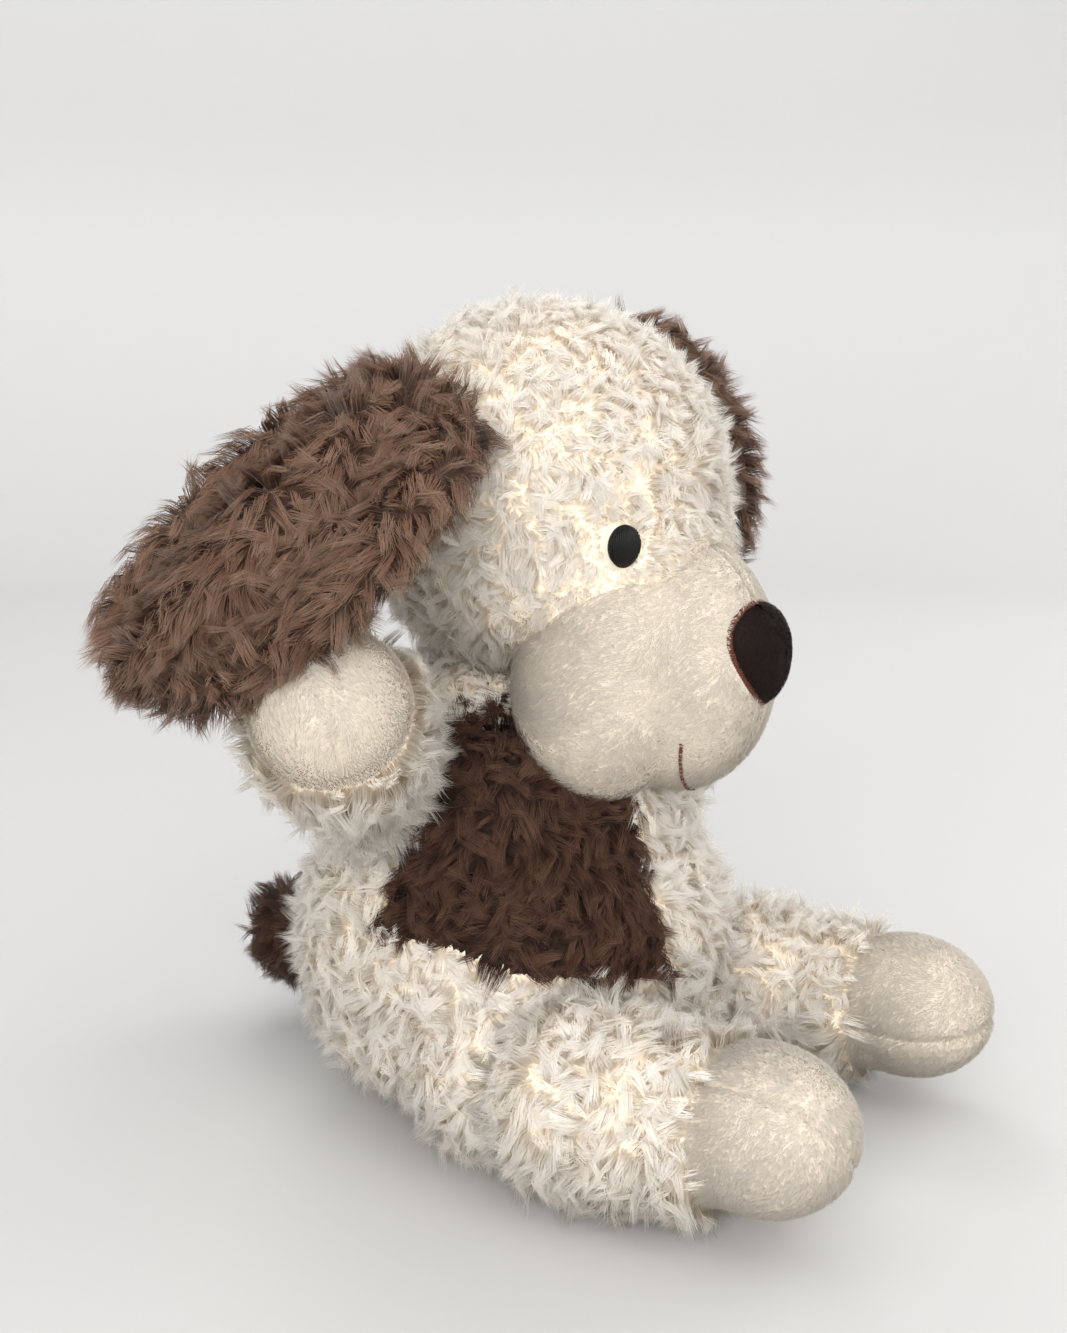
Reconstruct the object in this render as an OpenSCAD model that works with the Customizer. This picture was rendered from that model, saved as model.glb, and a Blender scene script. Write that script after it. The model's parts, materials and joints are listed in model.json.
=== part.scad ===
/* [Body] */
// Widest diameter of the body over its pile
body_d = 142; // [140:1:144]
// Height of the body's rounded top above the seat
body_h = 115; // [114:1:116]
// Thickness of the shaggy fabric with its pile
shag_t = 7; // [6:0.5:8]
// Thickness of the short-pile fabric
velboa_t = 3; // [2:0.5:3.5]

/* [Head] */
// Diameter of the head over its pile
head_d = 118; // [116:1:120]
// Height of the head's centre above the seat
head_z = 182; // [181:1:184]
// Width and depth of the muzzle
muzzle_d = 82; // [80:1:84]
// Height of the muzzle
muzzle_h = 64; // [62:1:66]
// Width of the padded nose
nose_w = 31; // [28:1:33]
// Height of one embroidered eye
eye_h = 11; // [9:0.5:13]

/* [Limbs] */
// Diameter of an arm in its middle
arm_d = 42; // [40:1:44]
// Distance from a shoulder to the middle of its paw
arm_len = 55; // [53:1:57]
// Angle of the raised right arm above level
arm_right_lift = 36; // [33:1:38]
// Angle of the resting left arm above level
arm_left_lift = -21; // [-22:1:-18]
// Diameter of a leg at the hip
leg_d = 57; // [56:1:58]
// Diameter of a foot
foot_d = 45; // [43:1:46]
// Distance from a hip to the middle of its foot
leg_len = 54; // [52:1:56]

/* [Ears and tail] */
// Width of an ear at its widest
ear_w = 56; // [52:1:58]
// Length of an ear from its seam to its tip
ear_len = 112; // [106:1:114]
// Thickness of the shaggy side of an ear
ear_shag_t = 8; // [6:0.5:8]
// Thickness of the lining side of an ear
ear_lining_t = 5; // [4:0.5:5]
// Length of the tail from its seam
tail_len = 30; // [26:1:32]

/* [Hidden] */

cream = "#efe6da";
velboa_cream = "#e9dfd0";
mid_brown = "#7e6150";
dark_brown = "#43291f";
nose_brown = "#1d0f0c";
thread_brown = "#4a1f12";
thread_black = "#0a0a0a";
filling = "#f4f2ec";
lining_cloth = "#d9cdb8";
bead_grey = "#c9ccd2";

smooth = 64;
gap = 0.4;
eps = 0.01;
big = 400;

// Body: a flat seat, upright sides and a domed top, turned about the vertical axis
body_r = body_d / 2;
seat_r = 35;
dome_off = 12;
dome_r = body_r - dome_off;
dome_z = body_h - dome_r;
hem_r = body_r - seat_r;
seam_x = 0.3;

// The side patch runs between two upright planes, given as angles about the axis
patch_back = 177;
patch_front = 250;
patch_z = 44;
patch_slant = 10;

// Neck: a ball of stuffing that the head turns and nods on
neck_at = [0, 4, 118];
neck_r = 22;
neck_hem = 6;
head_at = [0, -8, head_z];
head_r = head_d / 2;
gusset_half = 16;

// Muzzle: an oval bun, turned about its own vertical axis
muzzle_at = [0, -46, 132];
muzzle_r = muzzle_d / 2;
muzzle_side_r = 26;
chin_back = -6;
chin_gap = 0.6;

// Nose, mouth and eyes lie on the muzzle's and the head's outside
nose_tilt = 16;
nose_rise = 6;
nose_t = 4;
nose_h = 27.5;
edging_w = 1.4;
edging_t = 2;
mouth_w = 16;
mouth_line = 2;
mouth_z = -21;
eye_w = 8.5;
eye_t = 2.4;
eye_turn = 35;
eye_pitch = 12;

// Shoulders and hips lie near the body's outside
shoulder = [57, 12, 103];
shoulder_r = 17;
armpit_right = 6;
armpit_left = 11;
arm_turn_right = 27;
arm_turn_left = 10;
cuff = 34;
hip = [47, -54, 29];
hip_r = leg_d / 2;
hip_gap = 2.2;
leg_turn = 4;
ankle = 34;
foot_roll_right = 50;
foot_roll_left = 8;

// Ears: the right one is lifted back over the paw, the left one hangs down the cheek
ear_t = ear_shag_t + ear_lining_t;
ear_root_r = ear_t / 2;
ear_root_w = 30;
ear_right_turn = [-49, 48, 131];
ear_right_gap = 3;
ear_right_at = head_at + (head_r + ear_root_r + ear_right_gap) * [-0.877, 0.146, 0.457];
ear_in = head_r + gap;
ear_out = ear_in + ear_t;
ear_axis_r = (ear_in + ear_out) / 2;
ear_left_rise = 33;
ear_left_len = ear_len - 24;
ear_left_lean = -9;

// Tail
tail_at = [0, 73, 30];
tail_r = 13;
tail_droop = 14;

function oval_cap(half_w, half_h, side_r) =
  ((half_w - side_r) * (half_w - side_r) + half_h * half_h - side_r * side_r) / (2 * (half_h - side_r));

// Half of an oval of arcs, for turning: side arcs joined by flatter arcs above and below
module oval_half(half_w, half_h, side_r, grow = 0) {
  cap_r = oval_cap(half_w, half_h, side_r);
  side_off = half_w - side_r;
  meet = side_off * cap_r / (cap_r - side_r);
  translate([side_off, 0]) circle(r = side_r + grow, $fn = smooth);
  intersection() {
    translate([0, half_h - cap_r]) circle(r = cap_r + grow, $fn = smooth);
    translate([0, cap_r - half_h]) circle(r = cap_r + grow, $fn = smooth);
    translate([0, -big / 2]) square([meet, big]);
  }
}

module right_half_plane() translate([0, -big / 2]) square([big, big]);

module muzzle_form(grow = 0)
  translate(muzzle_at) rotate_extrude($fn = smooth) intersection() {
    oval_half(muzzle_r, muzzle_h / 2, muzzle_side_r, grow);
    right_half_plane();
  }

// The chest is flat under the chin, so that the head can turn over it
module chin_room()
  translate([-big / 2, chin_back - big, muzzle_at[2] - muzzle_h / 2 - chin_gap]) cube(big);

module body_profile(inset = 0) intersection() {
  union() {
    translate([dome_off, dome_z]) circle(r = dome_r - inset, $fn = 2 * smooth);
    translate([seat_r, hem_r]) circle(r = hem_r - inset, $fn = 2 * smooth);
    translate([0, hem_r]) square([body_r - inset, dome_z - hem_r]);
    translate([0, inset]) square([seat_r, hem_r]);
    translate([0, hem_r]) square([dome_off, body_h - hem_r - inset]);
  }
  translate([0, inset]) square(big);
}

module body_form(inset = 0) rotate_extrude($fn = 2 * smooth) body_profile(inset);

module ball(at, r) translate(at) sphere(r = r, $fn = smooth);

module limb_rooms() {
  ball(neck_at, neck_r + gap);
  for (side = [-1, 1]) {
    translate([side * shoulder[0], shoulder[1], shoulder[2]]) rotate([0, 90, 0])
      sphere(r = shoulder_r + (side > 0 ? armpit_left : armpit_right), $fn = smooth);
    ball([side * hip[0], hip[1], hip[2]], hip_r + hip_gap);
  }
  ball(tail_at, tail_r + gap);
  chin_room();
}

module body_shell() difference() {
  body_form();
  body_form(shag_t);
  limb_rooms();
}

// The dark patch covers the right side from the neck to a slanted lower edge
module patch_room() intersection() {
  rotate([0, 0, patch_back]) cube([big, big, big]);
  rotate([0, 0, patch_front - 90]) cube([big, big, big]);
  translate([0, 0, patch_z]) rotate([0, patch_slant, 0]) translate([-big / 2, -big / 2, 0]) cube(big);
}

module body_right_panel() color(cream) difference() {
  body_shell();
  patch_room();
  seat_form();
  translate([-seam_x / 2, -big / 2, -big / 2]) cube(big);
}

module body_left_panel() color(cream) difference() {
  body_shell();
  patch_room();
  seat_form();
  translate([seam_x / 2 - big, -big / 2, -big / 2]) cube(big);
}

module side_patch() color(dark_brown) intersection() {
  body_shell();
  patch_room();
}

module seat_form() translate([0, 0, -eps]) cylinder(r = seat_r, h = shag_t + eps, $fn = smooth);

module seat_panel() color(cream) cylinder(r = seat_r - gap / 2, h = shag_t, $fn = smooth);

pouch_r = 30;
pouch_h = 26;
pouch_z = shag_t + 4;

module pouch_form(grow = 0)
  translate([0, 6, pouch_z - grow])
    cylinder(r = pouch_r + grow, h = pouch_h + 2 * grow, $fn = smooth);

module body_stuffing() color(filling) difference() {
  body_form(shag_t);
  pouch_form(1);
  limb_rooms();
}

module pellet_pouch() color(lining_cloth) difference() {
  pouch_form(1);
  pouch_form(0);
}

module pellets() color(bead_grey) pouch_form(0);

module neck_stuffing() color(filling) ball(neck_at, neck_r);

// Head: two side panels and a gusset from the brow over the crown to the nape
module head_shell() difference() {
  ball(head_at, head_r);
  ball(head_at, head_r - shag_t);
  muzzle_form();
  ball(neck_at, neck_r + neck_hem);
  eye_room(1);
  eye_room(-1);
}

module crown_band(half)
  translate(head_at - [half, big / 2, big / 2]) cube([2 * half, big, big]);

module head_right_panel() color(cream) difference() {
  head_shell();
  translate(head_at - [gusset_half, big / 2, big / 2]) cube(big);
}

module head_left_panel() color(cream) difference() {
  head_shell();
  translate(head_at + [gusset_half - big, -big / 2, -big / 2]) cube(big);
}

module crown_gusset() color(cream) intersection() {
  head_shell();
  crown_band(gusset_half - seam_x / 2);
}

module head_stuffing() color(filling) difference() {
  ball(head_at, head_r - shag_t);
  ball(neck_at, neck_r + gap);
}

module muzzle_shell() difference() {
  muzzle_form();
  muzzle_form(-velboa_t);
  ball(head_at, head_r - shag_t);
  ball(neck_at, neck_r + gap);
}

module muzzle_right_panel() color(velboa_cream) difference() {
  muzzle_shell();
  translate([-seam_x / 2, -big / 2, -big / 2]) cube(big);
}

module muzzle_left_panel() color(velboa_cream) difference() {
  muzzle_shell();
  translate([seam_x / 2 - big, -big / 2, -big / 2]) cube(big);
}

module muzzle_stuffing() color(filling) difference() {
  muzzle_form(-velboa_t);
  ball(head_at, head_r - shag_t);
  ball(neck_at, neck_r + gap);
}

// An egg with its point down, drawn about its middle
module nose_outline(grow = 0)
  polygon([for (t = [0:7.5:352.5]) [
    (nose_w / 2 + grow) * cos(t) * (0.8 + 0.28 * sin(t)), (nose_h / 2 + grow) * sin(t)
  ]]);

// Moves a flat outline to the front of the muzzle and runs it back into the muzzle
module on_nose(depth = 60)
  translate(muzzle_at + [0, 0, nose_rise]) rotate([90 - nose_tilt, 0, 0]) linear_extrude(depth) children();

module nose() color(nose_brown) difference() {
  intersection() {
    on_nose() nose_outline();
    muzzle_form(nose_t);
  }
  muzzle_form();
}

module nose_edging() color(thread_brown) difference() {
  intersection() {
    on_nose() difference() {
      nose_outline(edging_w);
      nose_outline();
    }
    muzzle_form(edging_t);
  }
  muzzle_form();
}

module mouth_stitch() color(thread_brown) difference() {
  intersection() {
    translate(muzzle_at + [-mouth_w / 2, -muzzle_r - 5, mouth_z])
      cube([mouth_w, muzzle_r, mouth_line]);
    muzzle_form(1);
  }
  muzzle_form();
}

// Upright oval of two round ends and straight sides
module eye_outline() {
  end_off = (eye_h - eye_w) / 2;
  for (end = [-1, 1]) translate([0, end * end_off]) circle(d = eye_w, $fn = smooth);
  square([eye_w, 2 * end_off], center = true);
}

module eye_room(side)
  translate(head_at) rotate([0, 0, -side * eye_turn]) rotate([90 + eye_pitch, 0, 0])
    linear_extrude(head_r + 5) eye_outline();

module eye(side) color(thread_black) intersection() {
  eye_room(side);
  difference() {
    ball(head_at, head_r - shag_t + eye_t);
    ball(head_at, head_r - shag_t);
  }
}

module eye_right() eye(1);
module eye_left() eye(-1);

// Ear outline: an egg cut straight at its narrow end, which is the seam
module ear_outline(length) {
  cut = 38;
  side = [for (t = [cut:6:176]) [
    length * (cos(cut) - cos(t)) / (cos(cut) + 1), ear_w / 2 * sin(t) * (1 - 0.15 * cos(t))
  ]];
  last = len(side) - 1;
  polygon(concat(side, [for (i = [last:-1:0]) [side[i][0], -side[i][1]]]));
}

module ear_right_place() translate(ear_right_at) rotate(ear_right_turn) children();

module ear_root_bar() rotate([90, 0, 0]) cylinder(r = ear_root_r, h = ear_root_w, center = true, $fn = smooth);

module ear_right_form() ear_right_place() {
  translate([0, 0, -ear_root_r]) linear_extrude(ear_t) ear_outline(ear_len);
  ear_root_bar();
}

module ear_right_outer() color(mid_brown) difference() {
  ear_right_form();
  ear_right_place() translate([-big / 2, -big / 2, ear_lining_t - ear_root_r - big]) cube(big);
}

module ear_right_lining() color(mid_brown) intersection() {
  ear_right_form();
  ear_right_place() translate([-big / 2, -big / 2, ear_lining_t - ear_root_r - big]) cube(big);
}

// The hanging ear is a strip bent over the side of the head, seen from the front
module drape_strip(inner, outer) translate(head_at) {
  intersection() {
    rotate([90, 0, 0]) difference() {
      cylinder(r = outer, h = 2 * ear_w, center = true, $fn = 2 * smooth);
      cylinder(r = inner, h = 3 * ear_w, center = true, $fn = 2 * smooth);
    }
    translate([0, -big / 2, 0]) cube(big);
    rotate([0, -ear_left_rise, 0]) translate([0, -big / 2, -big]) cube(big);
  }
  translate([inner, -ear_w, -ear_left_drop]) cube([outer - inner, 2 * ear_w, ear_left_drop]);
}

ear_left_rises = ear_axis_r * sin(ear_left_rise);
ear_left_drop = ear_left_len - ear_axis_r * ear_left_rise * PI / 180;

// The outline of the hanging ear, seen from its own side and leaning forward
module hanging_outline()
  translate(head_at + [0, 0, ear_left_rises + 4]) rotate([ear_left_lean, 0, 0]) rotate([0, 90, 0])
    linear_extrude(big) ear_outline(ear_left_rises + ear_left_drop + 8);

module ear_left_outer() color(mid_brown) intersection() {
  drape_strip(ear_in + ear_lining_t, ear_out);
  hanging_outline();
}

module ear_left_lining() color(mid_brown) intersection() {
  drape_strip(ear_in, ear_in + ear_lining_t);
  hanging_outline();
}

// Arms run along their own +X axis from the shoulder to the paw
module arm_profile(inset = 0) intersection() {
  union() {
    translate([0, 12]) square([shoulder_r + 1 - inset, cuff - 12]);
    translate([0, cuff - 8]) circle(r = arm_d / 2 - inset, $fn = smooth);
    translate([0, arm_len]) circle(r = arm_d / 2 - inset, $fn = smooth);
    translate([0, cuff - 8]) square([arm_d / 2 - inset, arm_len - cuff + 8]);
    circle(r = shoulder_r, $fn = smooth);
  }
  right_half_plane();
}

module turned_along_x() rotate([0, 90, 0]) rotate_extrude($fn = smooth) children();

module arm_place(side, lift, turn)
  translate([side * shoulder[0], shoulder[1], shoulder[2]])
    rotate([0, -lift, side > 0 ? -turn : 180 + turn]) children();

module beyond(x) translate([x, -big / 2, -big / 2]) cube(big);

module arm_shell(inset) difference() {
  turned_along_x() arm_profile();
  turned_along_x() arm_profile(inset);
}

module arm_sleeve(side, lift, turn) color(cream) arm_place(side, lift, turn) intersection() {
  arm_shell(shag_t);
  translate([shoulder_r - 4, -big / 2, -big / 2]) cube([cuff - shoulder_r + 4, big, big]);
}

module paw_half(side, lift, turn, high_y) color(velboa_cream) arm_place(side, lift, turn) intersection() {
  arm_shell(velboa_t);
  beyond(cuff + seam_x);
  translate([-big / 2, high_y ? seam_x / 2 : -big - seam_x / 2, -big / 2]) cube(big);
}

module arm_stuffing(side, lift, turn) color(filling) arm_place(side, lift, turn) {
  difference() {
    turned_along_x() arm_profile(shag_t);
    beyond(cuff);
  }
  intersection() {
    turned_along_x() arm_profile(velboa_t);
    beyond(cuff);
  }
}

module arm_right_sleeve() arm_sleeve(-1, arm_right_lift, arm_turn_right);
module paw_right_back() paw_half(-1, arm_right_lift, arm_turn_right, false);
module paw_right_palm() paw_half(-1, arm_right_lift, arm_turn_right, true);
module arm_right_stuffing() arm_stuffing(-1, arm_right_lift, arm_turn_right);
module arm_left_sleeve() arm_sleeve(1, arm_left_lift, arm_turn_left);
module paw_left_back() paw_half(1, arm_left_lift, arm_turn_left, true);
module paw_left_palm() paw_half(1, arm_left_lift, arm_turn_left, false);
module arm_left_stuffing() arm_stuffing(1, arm_left_lift, arm_turn_left);

// Legs run along their own +X axis from the hip to the foot
module leg_profile(inset = 0) intersection() {
  union() {
    circle(r = hip_r - inset, $fn = smooth);
    polygon([
      [0, 0], [hip_r - inset - 0.6, 6], [foot_d / 2 + 2.5 - inset, ankle],
      [foot_d / 2 - inset, ankle + 6], [foot_d / 2 - inset, leg_len], [0, leg_len]
    ]);
    translate([0, leg_len]) circle(r = foot_d / 2 - inset, $fn = smooth);
  }
  right_half_plane();
}

module leg_place(side, roll)
  translate([side * hip[0], hip[1], hip[2]]) rotate([0, 0, 270 + side * leg_turn])
    rotate([side * roll, 0, 0]) children();

module leg_shell(inset) difference() {
  turned_along_x() leg_profile();
  turned_along_x() leg_profile(inset);
}

module leg_sleeve(side) color(cream) leg_place(side, 0) intersection() {
  leg_shell(shag_t);
  translate([8, -big / 2, -big / 2]) cube([ankle - 8, big, big]);
}

module foot_half(side, roll, up) color(velboa_cream) leg_place(side, roll) intersection() {
  leg_shell(velboa_t);
  beyond(ankle + seam_x);
  translate([-big / 2, -big / 2, up ? seam_x / 2 : -big - seam_x / 2]) cube(big);
}

module leg_stuffing(side) color(filling) leg_place(side, 0) {
  difference() {
    turned_along_x() leg_profile(shag_t);
    beyond(ankle);
  }
  intersection() {
    turned_along_x() leg_profile(velboa_t);
    beyond(ankle);
  }
}

module leg_right_sleeve() leg_sleeve(-1);
module foot_right_upper() foot_half(-1, foot_roll_right, true);
module foot_right_sole() foot_half(-1, foot_roll_right, false);
module leg_right_stuffing() leg_stuffing(-1);
module leg_left_sleeve() leg_sleeve(1);
module foot_left_upper() foot_half(1, foot_roll_left, true);
module foot_left_sole() foot_half(1, foot_roll_left, false);
module leg_left_stuffing() leg_stuffing(1);

// The tail runs back from its seam, its own +X axis pointing behind and down
module tail_profile(inset = 0) intersection() {
  union() {
    circle(r = tail_r - inset, $fn = smooth);
    square([tail_r - inset, tail_len - tail_r]);
    translate([0, tail_len - tail_r]) circle(r = tail_r - inset, $fn = smooth);
  }
  right_half_plane();
}

module tail_place() translate(tail_at) rotate([0, tail_droop, 90]) children();

module tail_cover() color(dark_brown) tail_place() difference() {
  turned_along_x() tail_profile();
  turned_along_x() tail_profile(shag_t);
}

module tail_stuffing() color(filling) tail_place() turned_along_x() tail_profile(shag_t);

body_right_panel();
body_left_panel();
side_patch();
seat_panel();
body_stuffing();
pellet_pouch();
pellets();
neck_stuffing();
head_right_panel();
head_left_panel();
crown_gusset();
head_stuffing();
muzzle_right_panel();
muzzle_left_panel();
muzzle_stuffing();
nose();
nose_edging();
mouth_stitch();
eye_right();
eye_left();
ear_right_outer();
ear_right_lining();
ear_left_outer();
ear_left_lining();
arm_right_sleeve();
paw_right_back();
paw_right_palm();
arm_right_stuffing();
arm_left_sleeve();
paw_left_back();
paw_left_palm();
arm_left_stuffing();
leg_right_sleeve();
foot_right_upper();
foot_right_sole();
leg_right_stuffing();
leg_left_sleeve();
foot_left_upper();
foot_left_sole();
leg_left_stuffing();
tail_cover();
tail_stuffing();
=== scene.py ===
import json
import math

import bmesh
import bpy
import numpy as np
from mathutils import Matrix, Vector
from mathutils.bvhtree import BVHTree
from mathutils.kdtree import KDTree


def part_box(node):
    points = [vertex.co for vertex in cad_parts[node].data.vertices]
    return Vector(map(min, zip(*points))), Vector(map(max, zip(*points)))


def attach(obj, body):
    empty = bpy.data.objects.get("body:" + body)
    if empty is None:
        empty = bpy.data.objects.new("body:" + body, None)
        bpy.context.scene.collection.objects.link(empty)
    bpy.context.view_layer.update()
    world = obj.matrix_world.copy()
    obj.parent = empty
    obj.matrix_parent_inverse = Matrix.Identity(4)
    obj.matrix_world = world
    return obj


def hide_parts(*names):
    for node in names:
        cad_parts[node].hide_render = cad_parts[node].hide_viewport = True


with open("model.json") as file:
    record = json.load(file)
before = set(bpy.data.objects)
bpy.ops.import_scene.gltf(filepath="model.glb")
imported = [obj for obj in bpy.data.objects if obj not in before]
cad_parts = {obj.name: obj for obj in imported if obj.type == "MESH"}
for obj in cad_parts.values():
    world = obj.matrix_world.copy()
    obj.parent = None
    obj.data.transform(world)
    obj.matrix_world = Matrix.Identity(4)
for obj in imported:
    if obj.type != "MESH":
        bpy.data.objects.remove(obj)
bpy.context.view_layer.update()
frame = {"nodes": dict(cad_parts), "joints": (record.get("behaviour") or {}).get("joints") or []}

MM = 0.001
STRAND_SHARE = 1.0
rng = np.random.default_rng(7)


# ---------------------------------------------------------------- places, in millimetres, from the frame


def node_box(*nodes):
    """Lowest and highest corner of some CAD nodes together."""
    corners = [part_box(n) for n in nodes]
    low = np.min([np.array(c[0]) for c in corners], axis=0) / MM
    high = np.max([np.array(c[1]) for c in corners], axis=0) / MM
    return low, high


def middle(*nodes):
    low, high = node_box(*nodes)
    return (low + high) / 2


def joint(name):
    """A joint's place and axis."""
    found = next(j for j in frame["joints"] if j["name"] == name)
    return np.array(found["pos_m"]) / MM, np.array(found["axis"], float)


def unit(v):
    v = np.asarray(v, float)
    return v / np.maximum(np.linalg.norm(v, axis=-1, keepdims=True), 1e-9)


body_low, body_high = node_box("body_right_panel", "body_left_panel", "seat_panel")
BODY_R = (body_high[1] - body_low[1]) / 2
HEAD = middle("head_stuffing")
HEAD[2] = node_box("head_stuffing")[1][2] - (node_box("head_stuffing")[1][0])
HEAD_R = node_box("head_stuffing")[1][0] + 7
MUZZLE = middle("muzzle_right_panel", "muzzle_left_panel")
muzzle_low, muzzle_high = node_box("muzzle_right_panel", "muzzle_left_panel")
MUZZLE_R = (muzzle_high[0] - muzzle_low[0]) / 2
MUZZLE = np.array([0.0, muzzle_low[1] + MUZZLE_R, (muzzle_low[2] + muzzle_high[2]) / 2])
MUZZLE_HALF_H = (muzzle_high[2] - muzzle_low[2]) / 2
SHOULDER = {"right": joint("arm_right_swing")[0], "left": joint("arm_left_swing")[0]}
HIP = {"right": joint("leg_right_swing")[0], "left": joint("leg_left_swing")[0]}
PAW = {s: middle(f"paw_{s}_back", f"paw_{s}_palm") for s in ("right", "left")}
FOOT = {s: middle(f"foot_{s}_upper", f"foot_{s}_sole") for s in ("right", "left")}
TAIL = joint("tail_wag")[0]
PATCH_BACK_DEG = -97
PATCH_FRONT_DEG = -15
PATCH_Z = 39
PATCH_SLOPE = -0.36


# ---------------------------------------------------------------- materials


def new_material(name):
    mat = bpy.data.materials.new(name)
    mat.use_nodes = True
    return mat, mat.node_tree.nodes, mat.node_tree.links, mat.node_tree.nodes["Principled BSDF"]


def mix_colour(nodes, links, factor, a, b):
    """A colour between a and b; either may be a colour or a socket."""
    mix = nodes.new("ShaderNodeMix")
    mix.data_type = "RGBA"
    for socket, value in ((mix.inputs[6], a), (mix.inputs[7], b)):
        if isinstance(value, tuple):
            socket.default_value = (*value, 1)
        else:
            links.new(value, socket)
    if isinstance(factor, float):
        mix.inputs[0].default_value = factor
    else:
        links.new(factor, mix.inputs[0])
    return mix.outputs[2]


def noise(nodes, links, scale, detail=3.0, rough=0.6, stretch=None):
    tex = nodes.new("ShaderNodeTexNoise")
    tex.inputs["Scale"].default_value = scale
    tex.inputs["Detail"].default_value = detail
    tex.inputs["Roughness"].default_value = rough
    place = nodes.new("ShaderNodeNewGeometry")
    if stretch:
        mapping = nodes.new("ShaderNodeMapping")
        mapping.inputs["Scale"].default_value = stretch
        links.new(place.outputs["Position"], mapping.inputs["Vector"])
        links.new(mapping.outputs[0], tex.inputs["Vector"])
    else:
        links.new(place.outputs["Position"], tex.inputs["Vector"])
    return tex.outputs["Fac"]


def ramp(nodes, links, factor, stops):
    node = nodes.new("ShaderNodeValToRGB")
    elements = node.color_ramp.elements
    while len(elements) < len(stops):
        elements.new(0.5)
    for element, (at, colour) in zip(elements, stops):
        element.position = at
        element.color = (*colour, 1)
    links.new(factor, node.inputs[0])
    return node.outputs[0]


def fibre_material(name, root, tip, pale, rough=0.75, sheen=0.3, glow=0.3):
    """Pile: the colour runs from a darker root, which is painted shade deep between the strands, to the tip, and each
    strand has its own tone.
    """
    mat, nodes, links, shader = new_material(name)
    uv = nodes.new("ShaderNodeUVMap")
    uv.uv_map = "OFBake"
    split = nodes.new("ShaderNodeSeparateXYZ")
    links.new(uv.outputs[0], split.inputs[0])
    # Painted shade: the root colour is darker than the tip so that the crevices deep in the pile look shaded.
    along = ramp(nodes, links, split.outputs[1], [(0.1, root), (0.6, tip), (1.0, pale)])
    tone = ramp(nodes, links, split.outputs[0], [(0.0, tuple(0.72 * c for c in tip)), (0.5, tip), (1.0, pale)])
    colour = mix_colour(nodes, links, 0.4, along, tone)
    links.new(colour, shader.inputs["Base Color"])
    shader.inputs["Roughness"].default_value = rough
    shader.inputs["Specular IOR Level"].default_value = 0.25
    shader.inputs["Sheen Weight"].default_value = sheen
    shader.inputs["Sheen Roughness"].default_value = 0.5
    through = nodes.new("ShaderNodeBsdfTranslucent")
    links.new(colour, through.inputs["Color"])
    blend = nodes.new("ShaderNodeMixShader")
    blend.inputs[0].default_value = glow
    links.new(shader.outputs[0], blend.inputs[1])
    links.new(through.outputs[0], blend.inputs[2])
    links.new(blend.outputs[0], nodes["Material Output"].inputs["Surface"])
    return mat


def cloth_material(name, dark, light, scale=900.0, bump=0.3, rough=0.9, sheen=0.3, depth=0.0004, stretch=None):
    """Fabric backing or short pile: mottled colour with a fine bumped grain."""
    mat, nodes, links, shader = new_material(name)
    grain = noise(nodes, links, scale, 4.0, 0.65, stretch)
    patches = noise(nodes, links, scale / 12, 2.0)
    fine = ramp(nodes, links, grain, [(0.3, dark), (0.7, light)])
    broad = ramp(nodes, links, patches, [(0.3, tuple(0.9 * c for c in light)), (0.7, light)])
    links.new(mix_colour(nodes, links, 0.5, fine, broad), shader.inputs["Base Color"])
    node = nodes.new("ShaderNodeBump")
    node.inputs["Strength"].default_value = bump
    node.inputs["Distance"].default_value = depth
    links.new(grain, node.inputs["Height"])
    links.new(node.outputs[0], shader.inputs["Normal"])
    shader.inputs["Roughness"].default_value = rough
    shader.inputs["Specular IOR Level"].default_value = 0.2
    shader.inputs["Sheen Weight"].default_value = sheen
    return mat


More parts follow.
